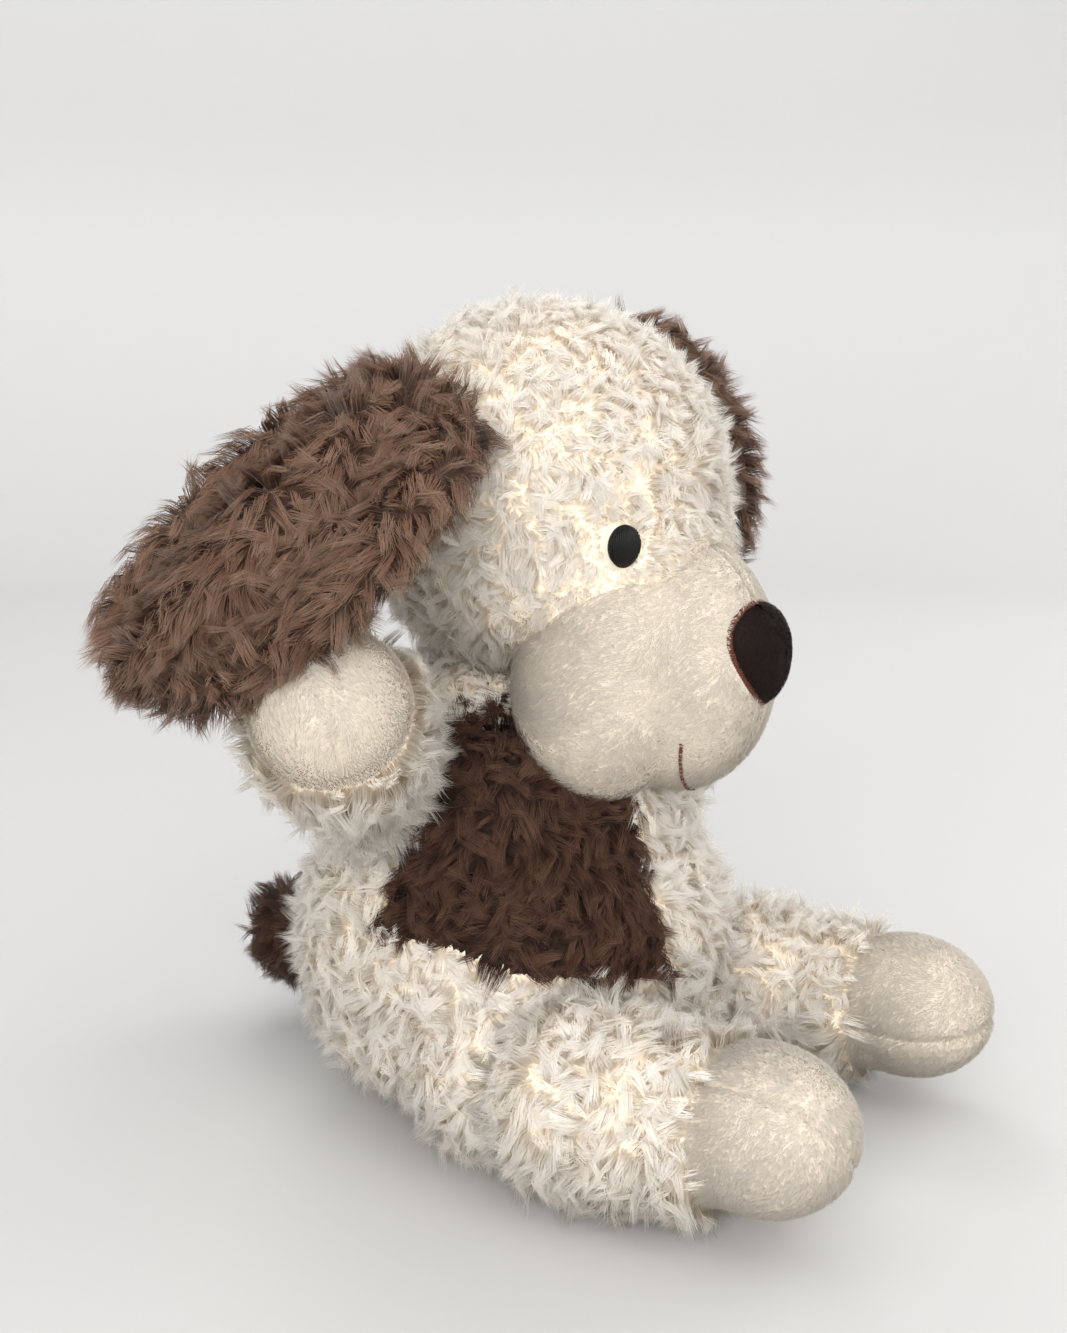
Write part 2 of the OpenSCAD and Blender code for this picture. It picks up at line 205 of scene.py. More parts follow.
MATS = {
    # Each pile fibre's first colour is its root. It is darkened as painted shade deep between the strands.
    "cream_fibre": fibre_material("cream_pile_fibre", (0.88, 0.74, 0.55), (0.97, 0.93, 0.87), (0.99, 0.98, 0.96),
                                  glow=0.5, sheen=0.15),
    "dark_fibre": fibre_material("dark_pile_fibre", (0.012, 0.005, 0.0035), (0.085, 0.04, 0.026),
                                 (0.26, 0.145, 0.095), sheen=0.05, glow=0.5),
    "brown_fibre": fibre_material("brown_pile_fibre", (0.04, 0.018, 0.011), (0.25, 0.14, 0.092),
                                  (0.50, 0.36, 0.27), sheen=0.1, glow=0.5),
    "velboa_fibre": fibre_material("cream_velboa_fibre", (0.70, 0.63, 0.54), (0.77, 0.72, 0.645),
                                   (0.86, 0.825, 0.76), glow=0.5, sheen=0.1),
    "nose_fibre": fibre_material("nose_velboa_fibre", (0.003, 0.0015, 0.001), (0.009, 0.004, 0.003),
                                 (0.035, 0.012, 0.007), sheen=0.0, glow=0.05),
    # The cream, dark, brown and velboa backings are darker than their pile. This is painted shade, so that the roots
    # seen through gaps between the strands look shadowed.
    "cream_skin": cloth_material("cream_backing", (0.82, 0.70, 0.54), (0.93, 0.84, 0.71)),
    "dark_skin": cloth_material("dark_backing", (0.012, 0.006, 0.005), (0.03, 0.015, 0.01)),
    "brown_skin": cloth_material("brown_backing", (0.03, 0.015, 0.01), (0.07, 0.035, 0.022)),
    "velboa_skin": cloth_material("cream_velboa", (0.52, 0.46, 0.38), (0.60, 0.54, 0.46), 1500.0, 0.2),
    "nose_skin": cloth_material("nose_velboa", (0.003, 0.0015, 0.001), (0.012, 0.005, 0.003), 1500.0, 0.5,
                                sheen=0.0),
    "brown_thread": cloth_material("brown_thread", (0.035, 0.01, 0.005), (0.13, 0.038, 0.018), 2500.0, 0.3, 0.5, 0.05),
    "black_thread": cloth_material("black_thread", (0.001, 0.001, 0.001), (0.006, 0.006, 0.006), 2500.0, 0.3, 0.45,
                                   0.0),
    "seam_thread": cloth_material("seam_thread", (0.45, 0.33, 0.22), (0.62, 0.50, 0.36), 2500.0, 0.3, 0.7),
    "filling": cloth_material("polyester_filling", (0.72, 0.71, 0.68), (0.9, 0.89, 0.86), 500.0, 0.6),
    "pouch": cloth_material("pouch_cloth", (0.5, 0.44, 0.36), (0.66, 0.6, 0.5), 1800.0, 0.4),
    "pellets": cloth_material("pellet_plastic", (0.5, 0.52, 0.55), (0.7, 0.72, 0.75), 800.0, 0.6, 0.35, 0.0),
}


# ---------------------------------------------------------------- meshes


def link(name, mesh):
    obj = bpy.data.objects.new(name, mesh)
    bpy.context.scene.collection.objects.link(obj)
    return obj


def mesh_from(name, points, faces, mat, smooth=True):
    """A mesh object from points in millimetres and a list of faces."""
    mesh = bpy.data.meshes.new(name)
    mesh.from_pydata((np.asarray(points) * MM).tolist(), [], faces)
    mesh.materials.append(MATS[mat])
    mesh.polygons.foreach_set("use_smooth", [smooth] * len(mesh.polygons))
    mesh.update()
    return link(name, mesh)


class Skin:
    """A closed triangle surface in millimetres, with vertex normals."""

    def __init__(self, points, tris):
        self.points = np.asarray(points, float)
        self.tris = np.asarray(tris, int)
        self.refresh()

    def refresh(self):
        a, b, c = (self.points[self.tris[:, i]] for i in range(3))
        cross = np.cross(b - a, c - a)
        self.areas = np.linalg.norm(cross, axis=1) / 2
        normals = np.zeros_like(self.points)
        for i in range(3):
            np.add.at(normals, self.tris[:, i], cross)
        self.normals = unit(normals)

    def moved(self, offset):
        """The surface with each vertex moved along its normal by offset."""
        shift = np.asarray(offset, float)
        if shift.ndim == 0:
            shift = np.full(len(self.points), float(shift))
        return Skin(self.points + self.normals * shift[:, None], self.tris)

    def scatter(self, per_mm2, keep=None):
        """Random points on the surface, with normals; keep(points, normals) says which stay."""
        count = int(self.areas.sum() * per_mm2)
        pick = rng.choice(len(self.tris), size=count, p=self.areas / self.areas.sum())
        u, v = rng.random(count), rng.random(count)
        flip = u + v > 1
        u[flip], v[flip] = 1 - u[flip], 1 - v[flip]
        w = np.stack([1 - u - v, u, v], 1)[:, :, None]
        at = (self.points[self.tris[pick]] * w).sum(1)
        normal = unit((self.normals[self.tris[pick]] * w).sum(1))
        if keep is not None:
            stays = keep(at, normal)
            at, normal = at[stays], normal[stays]
        return at, normal

    def object(self, name, mat, keep=None):
        """A mesh object of the surface, or of the triangles whose middles keep() takes."""
        tris = self.tris
        if keep is not None:
            centres = self.points[tris].mean(1)
            tris = tris[keep(centres, unit(self.normals[tris].mean(1)))]
            used, back = np.unique(tris, return_inverse=True)
            return mesh_from(name, self.points[used], back.reshape(-1, 3).tolist(), mat)
        return mesh_from(name, self.points, tris.tolist(), mat)


def rotation_to(direction, up=(0, 0, 1)):
    """A matrix whose first column runs along direction."""
    x = unit(direction)
    y = unit(np.cross(up, x))
    return np.stack([x, y, np.cross(x, y)], 1)


def blob(parts, voxel=2.5, smooth=10):
    """A smooth closed surface round some ellipsoids: (centre, radii) or (centre, radii, matrix)."""
    bm = bmesh.new()
    for part in parts:
        centre, radii = part[0], part[1]
        turn = part[2] if len(part) > 2 else np.eye(3)
        full = np.eye(4)
        full[:3, :3] = np.asarray(turn) @ np.diag(radii)
        full[:3, 3] = centre
        bmesh.ops.create_uvsphere(bm, u_segments=48, v_segments=32, radius=1, matrix=Matrix(full))
    mesh = bpy.data.meshes.new("blob")
    bm.to_mesh(mesh)
    bm.free()
    obj = link("blob", mesh)
    remesh = obj.modifiers.new("remesh", "REMESH")
    remesh.mode = "VOXEL"
    remesh.voxel_size = voxel
    relax = obj.modifiers.new("smooth", "SMOOTH")
    relax.factor = 0.5
    relax.iterations = smooth
    tri = obj.modifiers.new("tri", "TRIANGULATE")
    tri.quad_method = "BEAUTY"
    ready = obj.evaluated_get(bpy.context.evaluated_depsgraph_get()).to_mesh()
    points = np.zeros(len(ready.vertices) * 3)
    ready.vertices.foreach_get("co", points)
    corners = np.zeros(len(ready.polygons) * 3, int)
    ready.polygons.foreach_get("vertices", corners)
    bpy.data.objects.remove(obj)
    bpy.data.meshes.remove(mesh)
    return Skin(points.reshape(-1, 3), corners.reshape(-1, 3))


def wave(points, length, seed):
    """A smooth random vector field whose waves are about length millimetres long."""
    local = np.random.default_rng(seed)
    total = np.zeros_like(points)
    for _ in range(6):
        k = unit(local.normal(size=3)) * 2 * math.pi / (length * local.uniform(0.7, 1.5))
        total += np.sin(points @ k + local.uniform(0, 2 * math.pi))[:, None] * local.normal(size=3)
    return total / math.sqrt(6)


MOST_STRANDS = 62000


def ribbons(name, root, normal, tip, lift, width, tone, mat, steps=(0.0, 0.5)):
    """Tapering ribbons that rise along the normal by lift and bend over to the tip, in meshes of a fair size."""
    share = math.ceil(len(root) / MOST_STRANDS)
    if share > 1:
        return sum((ribbons(f"{name}_{i + 1}", *(v[i::share] for v in (root, normal, tip, lift, width, tone)),
                            mat, steps) for i in range(share)), [])
    count = len(root)
    bend = root + normal * lift[:, None]
    side = unit(np.cross(tip - root, normal + rng.normal(size=(count, 3)) * 0.35))
    side *= np.sign((np.cross(side, tip - root) * normal).sum(1, keepdims=True) + 1e-9)
    rings = []
    for t in steps:
        at = (1 - t) ** 2 * root + 2 * t * (1 - t) * bend + t * t * tip
        half = side * (width * (1 - 0.55 * t) / 2)[:, None]
        rings += [at - half, at + half]
    points = np.stack(rings + [tip], 1).reshape(-1, 3)
    size = 2 * len(steps) + 1
    quads = [[2 * i, 2 * i + 1, 2 * i + 3, 2 * i + 2] for i in range(len(steps) - 1)]
    last = [2 * len(steps) - 2, 2 * len(steps) - 1, 2 * len(steps)]
    pattern = np.array(sum(quads, []) + last)
    sizes = np.array([4] * len(quads) + [3])
    corners = (np.arange(count)[:, None] * size + pattern[None]).ravel()
    lengths = np.tile(sizes, count)
    mesh = bpy.data.meshes.new(name)
    mesh.vertices.add(count * size)
    mesh.vertices.foreach_set("co", (points * MM).ravel())
    mesh.loops.add(len(corners))
    mesh.loops.foreach_set("vertex_index", corners)
    mesh.polygons.add(len(lengths))
    mesh.polygons.foreach_set("loop_start", np.concatenate([[0], np.cumsum(lengths)[:-1]]))
    mesh.polygons.foreach_set("loop_total", lengths)
    mesh.polygons.foreach_set("use_smooth", np.ones(len(lengths), bool))
    along = np.array([t for t in steps for _ in range(2)] + [1.0])
    uv = mesh.uv_layers.new(name="OFBake")
    values = np.stack([np.repeat(np.clip(tone, 0.02, 0.98), len(pattern)),
                       np.tile(0.02 + 0.96 * along[pattern], count)], 1)
    uv.data.foreach_set("uv", values.ravel())
    mesh.materials.append(MATS[mat])
    mesh.update(calc_edges=True)
    soft = unit(normal + unit(tip - root) * 0.55)
    mesh.normals_split_custom_set_from_vertices(np.repeat(soft, size, axis=0).tolist())
    return [link(name, mesh)]


def shaggy(name, skin, mat, keep=None, per_mm2=4.0, length=9.5, fall=(0, 0, -1), droop=0.6, lift=0.75,
           tuft=26, width=0.24, swirl=0.8, seed=1, flow=None, trim=None):
    """Long pile in tufts: strands start all over the skin and each tuft's tips draw together."""
    root, normal = skin.scatter(per_mm2 * STRAND_SHARE, keep)
    width = width / math.sqrt(STRAND_SHARE)
    count = len(root)
    centre_ids = rng.choice(count, size=max(int(count / (tuft * STRAND_SHARE)), 1), replace=False)
    tree = KDTree(len(centre_ids))
    for i, k in enumerate(centre_ids):
        tree.insert(root[k], i)
    tree.balance()
    own = np.array([tree.find(p)[1] for p in root])
    centre, centre_n = root[centre_ids], normal[centre_ids]
    down = np.tile(np.asarray(fall, float), (len(centre), 1)) if flow is None else flow(centre)
    loose = wave(centre, 24.0, seed) * 0.6 + wave(centre, 8.0, seed + 50) + rng.normal(size=centre.shape) * 0.6
    lean = down * droop + loose * swirl
    lean -= centre_n * (lean * centre_n).sum(1, keepdims=True)
    heading = unit(lean + centre_n * lift)
    reach = length * rng.uniform(0.65, 1.2, len(centre))
    if trim is not None:
        short = trim(centre)
        reach *= short
        heading = unit(heading * short[:, None] + centre_n * (1 - short)[:, None])
    tuft_tip = centre + heading * reach[:, None]
    free_tip = root + heading[own] * (reach[own] * rng.uniform(0.7, 1.1, count))[:, None]
    draw = rng.uniform(0.2, 0.65, count)[:, None]
    tip = free_tip * (1 - draw) + tuft_tip[own] * draw + rng.normal(size=root.shape) * length * 0.05
    rise = reach[own] * rng.uniform(0.35, 0.6, count)
    tone = rng.uniform(0.15, 0.85, len(centre))[own] + rng.normal(size=count) * 0.1
    wide = width * rng.uniform(0.7, 1.3, count)
    return ribbons(name, root, normal, tip, rise, wide, tone, mat)


def nap(name, skin, mat, keep=None, per_mm2=5.0, length=2.4, fall=(0, 0, -1), width=0.24, seed=3, flow=None):
    """Short pile brushed one way along the surface."""
    root, normal = skin.scatter(per_mm2 * STRAND_SHARE, keep)
    width = width / math.sqrt(STRAND_SHARE)
    count = len(root)
    down = np.tile(np.asarray(fall, float), (count, 1)) if flow is None else flow(root)
    lean = unit(down) + wave(root, 18.0, seed) * 0.3 + wave(root, 5.0, seed + 9) * 0.16
    lean += rng.normal(size=root.shape) * 0.12
    lean -= normal * (lean * normal).sum(1, keepdims=True)
    tip = root + unit(unit(lean) + normal * 0.5) * (length * rng.uniform(0.7, 1.15, count))[:, None]
    root = root - normal * 0.15
    tone = 0.5 + rng.normal(size=count) * 0.12 + wave(root, 7.0, seed + 4)[:, 0] * 0.08
    return ribbons(name, root, normal, tip, np.full(count, length * 0.4), width * rng.uniform(0.7, 1.3, count),
                   tone, mat)


def tube(name, path, radius, mat, sides=6, closed=False):
    """A round cord along a path of points, with its own small end rings."""
    path = np.asarray(path, float)
    count = len(path)
    after = np.roll(path, -1, 0) if closed else np.concatenate([path[1:], path[-1:]])
    before = np.roll(path, 1, 0) if closed else np.concatenate([path[:1], path[:-1]])
    run = unit(after - before)
    side = unit(np.cross(run, np.tile([0.13, 0.27, 0.95], (count, 1))))
    other = np.cross(run, side)
    points, faces = [], []
    for i in range(count):
        for k in range(sides):
            a = 2 * math.pi * k / sides
            points.append(path[i] + radius * (side[i] * math.cos(a) + other[i] * math.sin(a)))
    for i in range(count if closed else count - 1):
        j = (i + 1) % count
        for k in range(sides):
            m = (k + 1) % sides
            faces.append([i * sides + k, i * sides + m, j * sides + m, j * sides + k])
    if not closed:
        faces.append(list(range(sides - 1, -1, -1)))
        faces.append([(count - 1) * sides + k for k in range(sides)])
    return mesh_from(name, points, faces, mat)


def finish_piece(objs, body, nodes=()):
    for obj in objs if isinstance(objs, list) else [objs]:
        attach(obj, body)
        if nodes:
            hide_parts(*nodes)


def surface_point(tree, origin, direction):
    """Where a ray from outside meets a surface, with the normal there."""
    hit, normal, _, _ = tree.ray_cast(Vector(origin), Vector(unit(direction)))
    return (np.array(hit), np.array(normal)) if hit else (None, None)


def tree_of(skin):
    return BVHTree.FromPolygons(skin.points.tolist(), skin.tris.tolist())


# ---------------------------------------------------------------- camera, floor and light

CAMERA_AZ, CAMERA_EL = -57.0, 9.0
CAMERA_AT = np.array([0.0, -5.0, 130.0])
CAMERA_DISTANCE = 450.0
LENS_MM = 40.7

az, el = math.radians(CAMERA_AZ), math.radians(CAMERA_EL)
back = np.array([math.sin(az) * math.cos(el), -math.cos(az) * math.cos(el), math.sin(el)])
camera_data = bpy.data.cameras.new("camera")
camera_data.lens = LENS_MM
camera_data.sensor_width = 36
camera_data.clip_start = 0.01
camera = link("camera", camera_data)
camera.location = Vector((CAMERA_AT + back * CAMERA_DISTANCE) * MM)
camera.rotation_euler = Vector(back).to_track_quat("Z", "Y").to_euler()
bpy.context.scene.camera = camera


def make_floor():
    """A round pale floor that curves up into a backdrop all round."""
    rings = [(0, 0), (300, 0), (900, 0), (1500, 0)]
    for i in range(1, 13):
        a = math.pi / 2 * i / 12
        rings.append((1500 + 700 * math.sin(a), 700 - 700 * math.cos(a)))
    rings.append((2200, 2600))
    points, faces, around = [], [], 96
    for r, z in rings:
        for k in range(around):
            a = 2 * math.pi * k / around
            points.append((r * math.cos(a), r * math.sin(a), z))
    for i in range(len(rings) - 1):
        for k in range(around):
            m = (k + 1) % around
            faces.append([i * around + k, i * around + m, (i + 1) * around + m, (i + 1) * around + k])
    mat, nodes, links, shader = new_material("floor")
    place = nodes.new("ShaderNodeNewGeometry")
    split = nodes.new("ShaderNodeSeparateXYZ")
    links.new(place.outputs["Position"], split.inputs[0])
    rise = ramp(nodes, links, split.outputs[2], [(0.0, (0.51, 0.505, 0.50)), (0.5, (0.60, 0.60, 0.60))])
    links.new(rise, shader.inputs["Base Color"])
    shader.inputs["Roughness"].default_value = 0.95
    shader.inputs["Specular IOR Level"].default_value = 0.1
    MATS["floor"] = mat
    floor = mesh_from("floor", points, faces, "floor")


def area_light(name, place, target, size, power, colour):
    data = bpy.data.lights.new(name, "AREA")
    data.shape = "DISK"
    data.size = size
    data.energy = power
    data.color = colour
    lamp = link(name, data)
    lamp.location = Vector(place)
    lamp.rotation_euler = (Vector(place) - Vector(target)).to_track_quat("Z", "Y").to_euler()


make_floor()
world = bpy.data.worlds.new("world")
bpy.context.scene.world = world
world.use_nodes = True
world.node_tree.nodes["Background"].inputs[0].default_value = (0.97, 0.98, 1.0, 1)
world.node_tree.nodes["Background"].inputs[1].default_value = 1.4
area_light("key", (-0.35, -1.25, 1.15), (0, 0, 0.1), 1.1, 6.0, (1.0, 0.975, 0.94))
area_light("fill", (-1.45, -0.75, 0.45), (0, 0, 0.08), 1.6, 40.0, (1.0, 0.985, 0.955))
area_light("far_side", (1.5, -0.8, 0.9), (0, 0, 0.1), 1.4, 12.0, (1.0, 0.985, 0.96))
area_light("rim", (1.5, 1.4, 1.9), (0, 0, 0.12), 1.4, 22.0, (1.0, 0.985, 0.96))
view = bpy.context.scene.view_settings
view.view_transform = "Standard"
view.look = "None"
view.exposure = 0.0


# ---------------------------------------------------------------- body

BASE_R = BODY_R - 8
body_skin = blob([
    ((0, 2, 50), (BASE_R, BASE_R, 47)),
    ((0, 0, 30), (BASE_R - 2, BASE_R - 2, 27)),
    ((-43, -28, 26), (27, 27, 24)),
    ((43, -28, 26), (27, 27, 24)),
    ((0, 1, 84), (52, 51, 38)),
    ((0, 0, 102), (43, 42, 26)),
    ((0, 10, 106), (36, 33, 21)),
], voxel=2.6, smooth=14)


def bearing(points):
    """Angle about the upright axis in degrees: 0 at the front, positive towards the dog's left."""
    return np.degrees(np.arctan2(points[:, 0], -points[:, 1]))


def in_patch(points, _normals):
    turn = bearing(points)
    edge = PATCH_Z + PATCH_SLOPE * points[:, 0] + 2.0 * np.sin(turn / 7.0)
    round_off = 0.012 * np.maximum(np.abs(turn - (PATCH_BACK_DEG + PATCH_FRONT_DEG) / 2) - 18, 0) ** 2
    return ((turn > PATCH_BACK_DEG) & (turn < PATCH_FRONT_DEG) & (points[:, 2] > edge + round_off))


def is_seat(points, normals):
    return (normals[:, 2] < -0.75) & (points[:, 2] < 12)


def body_right(points, normals):
    return (points[:, 0] < 0) & ~in_patch(points, normals) & ~is_seat(points, normals)


def body_left(points, normals):
    return (points[:, 0] >= 0) & ~in_patch(points, normals) & ~is_seat(points, normals)


for piece, keep, skin_mat, mat, slot, nodes, seed in (
    ("body_right", body_right, "cream_skin", "cream_fibre", "cream_pile", ("body_right_panel",), 11),
    ("body_left", body_left, "cream_skin", "cream_fibre", "cream_pile", ("body_left_panel",), 12),
    ("side_patch", in_patch, "dark_skin", "dark_fibre", "dark_pile", ("side_patch",), 13),
):
    finish_piece(body_skin.object(piece + "_skin", skin_mat, keep), "body", nodes)
    finish_piece(shaggy(piece + "_pile", body_skin, mat, keep, seed=seed), "body")
finish_piece(body_skin.object("seat_skin", "cream_skin", is_seat), "body", ("seat_panel",))
filling = body_skin.moved(-2.0)
finish_piece(filling.object("body_filling", "filling"), "body", ("body_stuffing",))
pouch = blob([(middle("pellets"), (28, 28, 13))], 3.0, 6)
finish_piece(pouch.object("pellet_pouch_cloth", "pouch"), "body", ("pellet_pouch",))


# ---------------------------------------------------------------- head

HEAD_BASE = HEAD_R - 7.5
head_skin = blob([
    (HEAD, (HEAD_BASE, HEAD_BASE, HEAD_BASE)),
    (HEAD + [0, -14, -20], (HEAD_BASE - 9, HEAD_BASE - 9, HEAD_BASE - 18)),
], voxel=2.6, smooth=14)


muzzle_parts = [(MUZZLE + [0, -8, 4], (26.5, 27, 36))]
for k in (-1, 1):
    muzzle_parts.append((MUZZLE + [k * 18, 7, -2], (24, 25, 31.5)))
    muzzle_parts.append((MUZZLE + [k * 13, 4, 9], (26.5, 25, 28)))
muzzle_skin = blob(muzzle_parts, voxel=1.4, smooth=45)
off_seam = np.abs(muzzle_skin.points[:, 0])
on_front = muzzle_skin.points[:, 1] < MUZZLE[1]
muzzle_skin = muzzle_skin.moved(-1.0 * np.exp(-(off_seam / 1.1) ** 2) * on_front)
muzzle_tree = tree_of(muzzle_skin)


def off_surface(tree, points):
    """Distance of each point outside a closed surface, negative inside it."""
    away = np.empty(len(points))
    for i, p in enumerate(points):
        hit, normal, _, far = tree.find_nearest(Vector(p))
        away[i] = far if (Vector(p) - hit).dot(normal) > 0 else -far
    return away


EYE_DIR = {s: unit([k * math.sin(math.radians(35)) * 0.978, -math.cos(math.radians(35)) * 0.978, -0.208])
           for s, k in (("right", -1), ("left", 1))}
head_tree = tree_of(head_skin)
EYE_OUT = 2.6
EYE_AT = {s: surface_point(head_tree, HEAD + d * 100, -d)[0] + d * EYE_OUT for s, d in EYE_DIR.items()}


def off_eyes(points):
    far = [np.linalg.norm((points - EYE_AT[s]) / np.array([1.0, 1.0, 1.25]), axis=1) for s in EYE_AT]
    return (far[0] > 5.4) & (far[1] > 5.4)


GUSSET = 16.0


def furry_head(points, normals):
    return off_eyes(points) & (points[:, 2] > HEAD[2] - 48) & (off_surface(muzzle_tree, points) > 0.8)


def head_trim(points):
    """Pile is clipped short round the eyes and beside the muzzle."""
    eye = np.min([np.linalg.norm(points - EYE_AT[s], axis=1) for s in EYE_AT], axis=0)
    return np.clip(np.minimum(0.25 + (eye - 5) / 12, 0.3 + off_surface(muzzle_tree, points) / 13), 0.3, 1.0)


def head_flow(points):
    """Pile lies back and down from the brow, and outward from the crown's middle."""
    out = unit(points - HEAD)
    return np.stack([out[:, 0] * 0.5, out[:, 1] * 0.2 + 0.1, -0.9 + 0.1 * out[:, 2]], 1)


for piece, side_keep, nodes, seed in (
    ("head_right", lambda p: p[:, 0] < -GUSSET, ("head_right_panel",), 21),
    ("head_left", lambda p: p[:, 0] > GUSSET, ("head_left_panel",), 22),
    ("crown", lambda p: np.abs(p[:, 0]) <= GUSSET, ("crown_gusset",), 23),
):
    finish_piece(head_skin.object(piece + "_skin", "cream_skin", lambda p, n, k=side_keep: k(p)),
                 "head", nodes)
    finish_piece(shaggy(piece + "_pile", head_skin, "cream_fibre",
                        lambda p, n, k=side_keep: k(p) & furry_head(p, n), length=8.0, droop=0.4, tuft=22,
                        swirl=0.85, seed=seed, flow=head_flow, trim=head_trim), "head")
finish_piece(head_skin.moved(-2.0).object("head_filling", "filling"), "head",
             ("head_stuffing",))
neck = blob([(joint("neck_turn")[0] + [0, 2, 0], (33, 31, 19))], 2.6, 8)
finish_piece(neck.object("neck_core", "cream_skin"), "neck", ("neck_stuffing",))
finish_piece(shaggy("neck_pile", neck, "cream_fibre", lambda p, n: (p[:, 1] > -12) & (p[:, 2] > 108), length=9.0,
                    seed=24), "neck")


# ---------------------------------------------------------------- muzzle and face


def oval_grid(around, up, shape):
    """A closed sphere-like surface; shape turns unit points into places in millimetres."""
    phi = np.linspace(0, math.pi, up)
    theta = np.linspace(0, 2 * math.pi, around, endpoint=False)
    p, t = np.meshgrid(phi[1:-1], theta, indexing="ij")
    points = np.stack([np.sin(p) * np.cos(t), np.sin(p) * np.sin(t), np.cos(p)], -1).reshape(-1, 3)
    points = np.concatenate([points, [[0, 0, 1.0], [0, 0, -1.0]]])
    rows = up - 2
    index = np.arange(rows * around).reshape(rows, around)
    right = np.roll(index, -1, 1)
    tris = np.concatenate([
        np.stack([index[:-1], index[1:], right[1:]], -1).reshape(-1, 3),
        np.stack([index[:-1], right[1:], right[:-1]], -1).reshape(-1, 3),
        np.stack([np.full(around, rows * around), index[0], right[0]], -1),
        np.stack([np.full(around, rows * around + 1), right[-1], index[-1]], -1),
    ])
    return Skin(shape(points), tris)


NOSE_DIR = unit([0, -1, 0.27])
NOSE_AT = surface_point(muzzle_tree, MUZZLE + NOSE_DIR * 90, -NOSE_DIR)[0]
nose_low, nose_high = node_box("nose")
NOSE_HALF_W = 16.5
NOSE_HALF_H = 14.2


def nose_edge(turn, grow=0.0):
    """The nose's outline, an egg with its point down, as places across and up."""
    return ((NOSE_HALF_W + grow) * np.cos(turn) * (0.80 + 0.26 * np.sin(turn)),
            (NOSE_HALF_H + grow) * np.sin(turn))


def on_muzzle(across, up, off=0.0):
    """Wraps a flat place on the nose's outline onto the muzzle, off millimetres above it."""
    direction = unit([across * 0.0, -1, 0.27])
    origin = NOSE_AT + np.array([across, 0, up * 0.97]) + direction * 40
    hit, normal = surface_point(muzzle_tree, origin, -direction)
    return hit + normal * off


def make_nose():
    """A padded nose: a domed egg whose edge turns in to the muzzle."""
    rings = [(0.0, 5.2), (0.2, 5.1), (0.4, 4.8), (0.6, 4.2), (0.78, 3.2), (0.9, 2.1), (0.97, 1.0), (1.0, -0.4)]
    turns = np.linspace(0, 2 * math.pi, 72, endpoint=False)
    points = [on_muzzle(0, 0, rings[0][1])]
    for share, off in rings[1:]:
        for a in turns:
            across, up = nose_edge(a)
            points.append(on_muzzle(across * share, up * share, off))
    count = len(turns)
    tris = [[0, 1 + k, 1 + (k + 1) % count] for k in range(count)]
    for i in range(len(rings) - 2):
        a0, b0 = 1 + i * count, 1 + (i + 1) * count
        for k in range(count):
            m = (k + 1) % count
            tris += [[a0 + k, b0 + k, b0 + m], [a0 + k, b0 + m, a0 + m]]
    return Skin(points, tris)


nose_skin = make_nose()
finish_piece(nose_skin.object("nose_pad", "nose_skin"), "head", ("nose",))
finish_piece(nap("nose_nap", nose_skin, "nose_fibre", per_mm2=8.0, length=1.4, width=0.22, fall=(0, 0, -0.6)),
             "head")


def off_nose(points):
    rel = points - NOSE_AT
    near = (rel[:, 1] < 14) & (points[:, 1] < MUZZLE[1] - 10)
    size = (rel[:, 0] / (NOSE_HALF_W * 0.92)) ** 2 + (rel[:, 2] / (NOSE_HALF_H * 0.95)) ** 2
    return ~(near & (size < 0.8))


def muzzle_flow(points):
    """The nap runs back from the nose round the cheeks."""
    rel = points - MUZZLE
    return np.stack([rel[:, 0] * 0.02, np.full(len(points), 0.8), -0.25 - rel[:, 2] * 0.012], 1)


for side, sign in (("right", -1), ("left", 1)):
    def half(points, _normals, sign=sign):
        return points[:, 0] * sign >= 0

    def bare(points, _normals, sign=sign):
        return (points[:, 0] * sign > 0.35) & off_nose(points) & (np.linalg.norm(points - HEAD, axis=1) > HEAD_BASE - 2)

    finish_piece(muzzle_skin.object(f"muzzle_{side}_skin", "velboa_skin", half), "head",
                 (f"muzzle_{side}_panel",))
    finish_piece(nap(f"muzzle_{side}_nap", muzzle_skin, "velboa_fibre", bare, flow=muzzle_flow, seed=31), "head")
finish_piece(muzzle_skin.moved(-2.0).object("muzzle_filling", "filling"), "head",
             ("muzzle_stuffing",))


def satin_ring(name, at, count, inner, outer, radius, mat):
    """Short parallel stitches across an edge; at(turn, grow) gives places on the surface."""
    points, faces = [], []
    for k in range(count):
        a = 2 * math.pi * k / count
        path = [at(a, inner, 0.15), at(a, (inner + outer) / 2, 0.75), at(a, outer, 0.1)]
        base = len(points)
        bar = bar_mesh(path, radius * rng.uniform(0.85, 1.15))
        points += bar[0]
        faces += [[base + i for i in face] for face in bar[1]]
    return mesh_from(name, points, faces, mat)


def bar_mesh(path, radius, sides=5):
    """Points and faces of one thread laid along a short path."""
    path = np.asarray(path, float)
    run = unit(np.gradient(path, axis=0))
    side = unit(np.cross(run, np.tile([0.21, 0.33, 0.92], (len(path), 1))))
    other = np.cross(run, side)
    taper = np.sin(np.linspace(0.15, math.pi - 0.15, len(path))) * 0.3 + 0.7
    points, faces = [], []
    for i, p in enumerate(path):
        for k in range(sides):
            a = 2 * math.pi * k / sides
            points.append(p + radius * taper[i] * (side[i] * math.cos(a) + other[i] * math.sin(a)))
    for i in range(len(path) - 1):
        for k in range(sides):
            m = (k + 1) % sides
            faces.append([i * sides + k, i * sides + m, (i + 1) * sides + m, (i + 1) * sides + k])
    faces.append(list(range(sides - 1, -1, -1)))
    faces.append([(len(path) - 1) * sides + k for k in range(sides)])
    return points, faces


def nose_ring_at(turn, grow, off):
    across, up = nose_edge(turn, grow)
    return on_muzzle(across, up, off)


